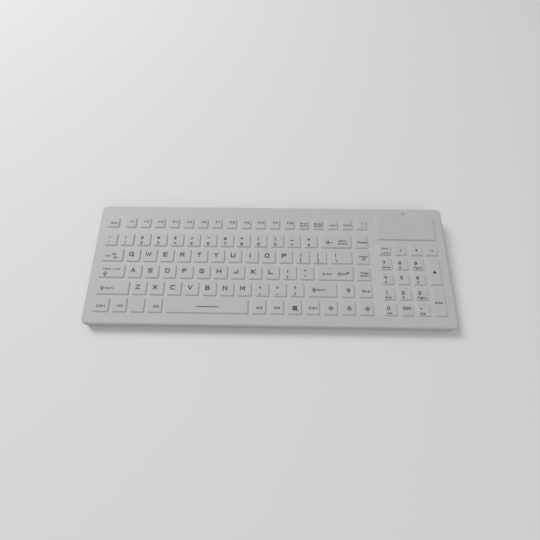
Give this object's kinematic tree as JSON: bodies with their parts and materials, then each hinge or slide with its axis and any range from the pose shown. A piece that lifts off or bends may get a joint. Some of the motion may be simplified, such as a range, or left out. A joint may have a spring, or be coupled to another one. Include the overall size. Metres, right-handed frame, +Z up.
{
  "type": "keyboard",
  "caption": "Sealed full-size wireless keyboard: pale silicone key field with number pad and raised panel over a wedge-shaped base, for wipe-down use.",
  "frame": {"origin": "middle of the footprint, at the level of the table", "axes": "+X to the right of the person who types, +Y away from that person, +Z up"},
  "size_m": [0.4, 0.1418, 0.0224],
  "materials": {
    "skin": "matt moulded silicone, pale grey-white",
    "base": "fine spark-eroded texture",
    "feet": "matt",
    "plugs": "matt",
    "seal": "closed-cell foam",
    "steel": "zinc plated",
    "plate": "rolled sheet",
    "board": "solder mask",
    "chips": "moulded epoxy",
    "can": "tinned",
    "led": "clear epoxy",
    "lens": "smoked",
    "cells": "shrink sleeve",
    "contacts": "nickel plated"
  },
  "bodies": {
    "casing": {"base_shell": "base", "rubber_feet": "feet", "base_screws": "steel", "screw_plugs": "plugs", "stiffener_plate": "plate", "circuit_board": "board", "controller_chips": "chips", "radio_module": "can", "status_led": "led", "light_pipe": "lens", "perimeter_seal": "seal", "battery_cells": "cells", "battery_springs": "contacts", "battery_contacts": "contacts", "keypad_skin": "skin"},
    "cover": {"battery_cover": "base", "cover_gasket": "plugs", "cover_screws": "steel"},
    "esc_key_press": {"esc_key": "skin"},
    "f1_to_f4_keys_press": {"f1_to_f4_keys": "skin"},
    "f5_to_f8_keys_press": {"f5_to_f8_keys": "skin"},
    "f9_to_f12_keys_press": {"f9_to_f12_keys": "skin"},
    "print_to_delete_keys_press": {"print_to_delete_keys": "skin"},
    "symbol_key_press": {"symbol_key": "skin"},
    "grave_key_press": {"grave_key": "skin"},
    "left_digit_keys_press": {"left_digit_keys": "skin"},
    "right_digit_keys_press": {"right_digit_keys": "skin"},
    "backspace_key_press": {"backspace_key": "skin"},
    "tab_key_press": {"tab_key": "skin"},
    "q_to_t_keys_press": {"q_to_t_keys": "skin"},
    "y_to_bracket_keys_press": {"y_to_bracket_keys": "skin"},
    "backslash_key_press": {"backslash_key": "skin"},
    "caps_lock_key_press": {"caps_lock_key": "skin"},
    "a_to_g_keys_press": {"a_to_g_keys": "skin"},
    "h_to_quote_keys_press": {"h_to_quote_keys": "skin"},
    "enter_key_press": {"enter_key": "skin"},
    "left_shift_key_press": {"left_shift_key": "skin"},
    "z_to_b_keys_press": {"z_to_b_keys": "skin"},
    "n_to_slash_keys_press": {"n_to_slash_keys": "skin"},
    "right_shift_key_press": {"right_shift_key": "skin"},
    "left_ctrl_key_press": {"left_ctrl_key": "skin"},
    "left_system_keys_press": {"left_system_keys": "skin"},
    "left_alt_key_press": {"left_alt_key": "skin"},
    "space_bar_press": {"space_bar": "skin"},
    "right_alt_key_press": {"right_alt_key": "skin"},
    "right_system_key_press": {"right_system_key": "skin"},
    "menu_key_press": {"menu_key": "skin"},
    "right_ctrl_key_press": {"right_ctrl_key": "skin"},
    "up_key_press": {"up_key": "skin"},
    "left_key_press": {"left_key": "skin"},
    "down_key_press": {"down_key": "skin"},
    "right_key_press": {"right_key": "skin"},
    "page_keys_press": {"page_keys": "skin"},
    "num_top_keys_press": {"num_top_keys": "skin"},
    "num_789_keys_press": {"num_789_keys": "skin"},
    "num_456_keys_press": {"num_456_keys": "skin"},
    "num_123_keys_press": {"num_123_keys": "skin"},
    "num_zero_keys_press": {"num_zero_keys": "skin"},
    "num_plus_key_press": {"num_plus_key": "skin"},
    "num_enter_key_press": {"num_enter_key": "skin"}
  },
  "joints": [
    {"name": "esc_key_travel", "type": "slide", "parent": "casing", "child": "esc_key_press", "axis": [0, -0.0698, 0.9976], "range_m": [-0.0012, 0], "stiffness_N_per_m": 300, "springref_m": 0.0004},
    {"name": "f1_to_f4_keys_travel", "type": "slide", "parent": "casing", "child": "f1_to_f4_keys_press", "axis": [0, -0.0698, 0.9976], "range_m": [-0.0012, 0], "stiffness_N_per_m": 700, "springref_m": 0.0004},
    {"name": "f5_to_f8_keys_travel", "type": "slide", "parent": "casing", "child": "f5_to_f8_keys_press", "axis": [0, -0.0698, 0.9976], "range_m": [-0.0012, 0], "stiffness_N_per_m": 700, "springref_m": 0.0004},
    {"name": "f9_to_f12_keys_travel", "type": "slide", "parent": "casing", "child": "f9_to_f12_keys_press", "axis": [0, -0.0698, 0.9976], "range_m": [-0.0012, 0], "stiffness_N_per_m": 700, "springref_m": 0.0004},
    {"name": "print_to_delete_keys_travel", "type": "slide", "parent": "casing", "child": "print_to_delete_keys_press", "axis": [0, -0.0698, 0.9976], "range_m": [-0.0012, 0], "stiffness_N_per_m": 700, "springref_m": 0.0004},
    {"name": "symbol_key_travel", "type": "slide", "parent": "casing", "child": "symbol_key_press", "axis": [0, -0.0698, 0.9976], "range_m": [-0.0012, 0], "stiffness_N_per_m": 300, "springref_m": 0.0004},
    {"name": "grave_key_travel", "type": "slide", "parent": "casing", "child": "grave_key_press", "axis": [0, -0.0698, 0.9976], "range_m": [-0.0012, 0], "stiffness_N_per_m": 300, "springref_m": 0.0004},
    {"name": "left_digit_keys_travel", "type": "slide", "parent": "casing", "child": "left_digit_keys_press", "axis": [0, -0.0698, 0.9976], "range_m": [-0.0012, 0], "stiffness_N_per_m": 700, "springref_m": 0.0004},
    {"name": "right_digit_keys_travel", "type": "slide", "parent": "casing", "child": "right_digit_keys_press", "axis": [0, -0.0698, 0.9976], "range_m": [-0.0012, 0], "stiffness_N_per_m": 700, "springref_m": 0.0004},
    {"name": "backspace_key_travel", "type": "slide", "parent": "casing", "child": "backspace_key_press", "axis": [0, -0.0698, 0.9976], "range_m": [-0.0012, 0], "stiffness_N_per_m": 300, "springref_m": 0.0004},
    {"name": "tab_key_travel", "type": "slide", "parent": "casing", "child": "tab_key_press", "axis": [0, -0.0698, 0.9976], "range_m": [-0.0012, 0], "stiffness_N_per_m": 300, "springref_m": 0.0004},
    {"name": "q_to_t_keys_travel", "type": "slide", "parent": "casing", "child": "q_to_t_keys_press", "axis": [0, -0.0698, 0.9976], "range_m": [-0.0012, 0], "stiffness_N_per_m": 700, "springref_m": 0.0004},
    {"name": "y_to_bracket_keys_travel", "type": "slide", "parent": "casing", "child": "y_to_bracket_keys_press", "axis": [0, -0.0698, 0.9976], "range_m": [-0.0012, 0], "stiffness_N_per_m": 700, "springref_m": 0.0004},
    {"name": "backslash_key_travel", "type": "slide", "parent": "casing", "child": "backslash_key_press", "axis": [0, -0.0698, 0.9976], "range_m": [-0.0012, 0], "stiffness_N_per_m": 300, "springref_m": 0.0004},
    {"name": "caps_lock_key_travel", "type": "slide", "parent": "casing", "child": "caps_lock_key_press", "axis": [0, -0.0698, 0.9976], "range_m": [-0.0012, 0], "stiffness_N_per_m": 300, "springref_m": 0.0004},
    {"name": "a_to_g_keys_travel", "type": "slide", "parent": "casing", "child": "a_to_g_keys_press", "axis": [0, -0.0698, 0.9976], "range_m": [-0.0012, 0], "stiffness_N_per_m": 700, "springref_m": 0.0004},
    {"name": "h_to_quote_keys_travel", "type": "slide", "parent": "casing", "child": "h_to_quote_keys_press", "axis": [0, -0.0698, 0.9976], "range_m": [-0.0012, 0], "stiffness_N_per_m": 700, "springref_m": 0.0004},
    {"name": "enter_key_travel", "type": "slide", "parent": "casing", "child": "enter_key_press", "axis": [0, -0.0698, 0.9976], "range_m": [-0.0012, 0], "stiffness_N_per_m": 300, "springref_m": 0.0004},
    {"name": "left_shift_key_travel", "type": "slide", "parent": "casing", "child": "left_shift_key_press", "axis": [0, -0.0698, 0.9976], "range_m": [-0.0012, 0], "stiffness_N_per_m": 300, "springref_m": 0.0004},
    {"name": "z_to_b_keys_travel", "type": "slide", "parent": "casing", "child": "z_to_b_keys_press", "axis": [0, -0.0698, 0.9976], "range_m": [-0.0012, 0], "stiffness_N_per_m": 700, "springref_m": 0.0004},
    {"name": "n_to_slash_keys_travel", "type": "slide", "parent": "casing", "child": "n_to_slash_keys_press", "axis": [0, -0.0698, 0.9976], "range_m": [-0.0012, 0], "stiffness_N_per_m": 700, "springref_m": 0.0004},
    {"name": "right_shift_key_travel", "type": "slide", "parent": "casing", "child": "right_shift_key_press", "axis": [0, -0.0698, 0.9976], "range_m": [-0.0012, 0], "stiffness_N_per_m": 300, "springref_m": 0.0004},
    {"name": "left_ctrl_key_travel", "type": "slide", "parent": "casing", "child": "left_ctrl_key_press", "axis": [0, -0.0698, 0.9976], "range_m": [-0.0012, 0], "stiffness_N_per_m": 300, "springref_m": 0.0004},
    {"name": "left_system_keys_travel", "type": "slide", "parent": "casing", "child": "left_system_keys_press", "axis": [0, -0.0698, 0.9976], "range_m": [-0.0012, 0], "stiffness_N_per_m": 300, "springref_m": 0.0004},
    {"name": "left_alt_key_travel", "type": "slide", "parent": "casing", "child": "left_alt_key_press", "axis": [0, -0.0698, 0.9976], "range_m": [-0.0012, 0], "stiffness_N_per_m": 300, "springref_m": 0.0004},
    {"name": "space_bar_travel", "type": "slide", "parent": "casing", "child": "space_bar_press", "axis": [0, -0.0698, 0.9976], "range_m": [-0.0012, 0], "stiffness_N_per_m": 300, "springref_m": 0.0004},
    {"name": "right_alt_key_travel", "type": "slide", "parent": "casing", "child": "right_alt_key_press", "axis": [0, -0.0698, 0.9976], "range_m": [-0.0012, 0], "stiffness_N_per_m": 300, "springref_m": 0.0004},
    {"name": "right_system_key_travel", "type": "slide", "parent": "casing", "child": "right_system_key_press", "axis": [0, -0.0698, 0.9976], "range_m": [-0.0012, 0], "stiffness_N_per_m": 300, "springref_m": 0.0004},
    {"name": "menu_key_travel", "type": "slide", "parent": "casing", "child": "menu_key_press", "axis": [0, -0.0698, 0.9976], "range_m": [-0.0012, 0], "stiffness_N_per_m": 300, "springref_m": 0.0004},
    {"name": "right_ctrl_key_travel", "type": "slide", "parent": "casing", "child": "right_ctrl_key_press", "axis": [0, -0.0698, 0.9976], "range_m": [-0.0012, 0], "stiffness_N_per_m": 300, "springref_m": 0.0004},
    {"name": "up_key_travel", "type": "slide", "parent": "casing", "child": "up_key_press", "axis": [0, -0.0698, 0.9976], "range_m": [-0.0012, 0], "stiffness_N_per_m": 300, "springref_m": 0.0004},
    {"name": "left_key_travel", "type": "slide", "parent": "casing", "child": "left_key_press", "axis": [0, -0.0698, 0.9976], "range_m": [-0.0012, 0], "stiffness_N_per_m": 300, "springref_m": 0.0004},
    {"name": "down_key_travel", "type": "slide", "parent": "casing", "child": "down_key_press", "axis": [0, -0.0698, 0.9976], "range_m": [-0.0012, 0], "stiffness_N_per_m": 300, "springref_m": 0.0004},
    {"name": "right_key_travel", "type": "slide", "parent": "casing", "child": "right_key_press", "axis": [0, -0.0698, 0.9976], "range_m": [-0.0012, 0], "stiffness_N_per_m": 300, "springref_m": 0.0004},
    {"name": "page_keys_travel", "type": "slide", "parent": "casing", "child": "page_keys_press", "axis": [0, -0.0698, 0.9976], "range_m": [-0.0012, 0], "stiffness_N_per_m": 700, "springref_m": 0.0004},
    {"name": "num_top_keys_travel", "type": "slide", "parent": "casing", "child": "num_top_keys_press", "axis": [0, -0.0698, 0.9976], "range_m": [-0.0012, 0], "stiffness_N_per_m": 700, "springref_m": 0.0004},
    {"name": "num_789_keys_travel", "type": "slide", "parent": "casing", "child": "num_789_keys_press", "axis": [0, -0.0698, 0.9976], "range_m": [-0.0012, 0], "stiffness_N_per_m": 700, "springref_m": 0.0004},
    {"name": "num_456_keys_travel", "type": "slide", "parent": "casing", "child": "num_456_keys_press", "axis": [0, -0.0698, 0.9976], "range_m": [-0.0012, 0], "stiffness_N_per_m": 700, "springref_m": 0.0004},
    {"name": "num_123_keys_travel", "type": "slide", "parent": "casing", "child": "num_123_keys_press", "axis": [0, -0.0698, 0.9976], "range_m": [-0.0012, 0], "stiffness_N_per_m": 700, "springref_m": 0.0004},
    {"name": "num_zero_keys_travel", "type": "slide", "parent": "casing", "child": "num_zero_keys_press", "axis": [0, -0.0698, 0.9976], "range_m": [-0.0012, 0], "stiffness_N_per_m": 700, "springref_m": 0.0004},
    {"name": "num_plus_key_travel", "type": "slide", "parent": "casing", "child": "num_plus_key_press", "axis": [0, -0.0698, 0.9976], "range_m": [-0.0012, 0], "stiffness_N_per_m": 300, "springref_m": 0.0004},
    {"name": "num_enter_key_travel", "type": "slide", "parent": "casing", "child": "num_enter_key_press", "axis": [0, -0.0698, 0.9976], "range_m": [-0.0012, 0], "stiffness_N_per_m": 300, "springref_m": 0.0004},
    {"name": "cover_lift_off", "type": "slide", "parent": "casing", "child": "cover", "axis": [0, 0, -1], "range_m": [0, 0.02]}
  ]
}
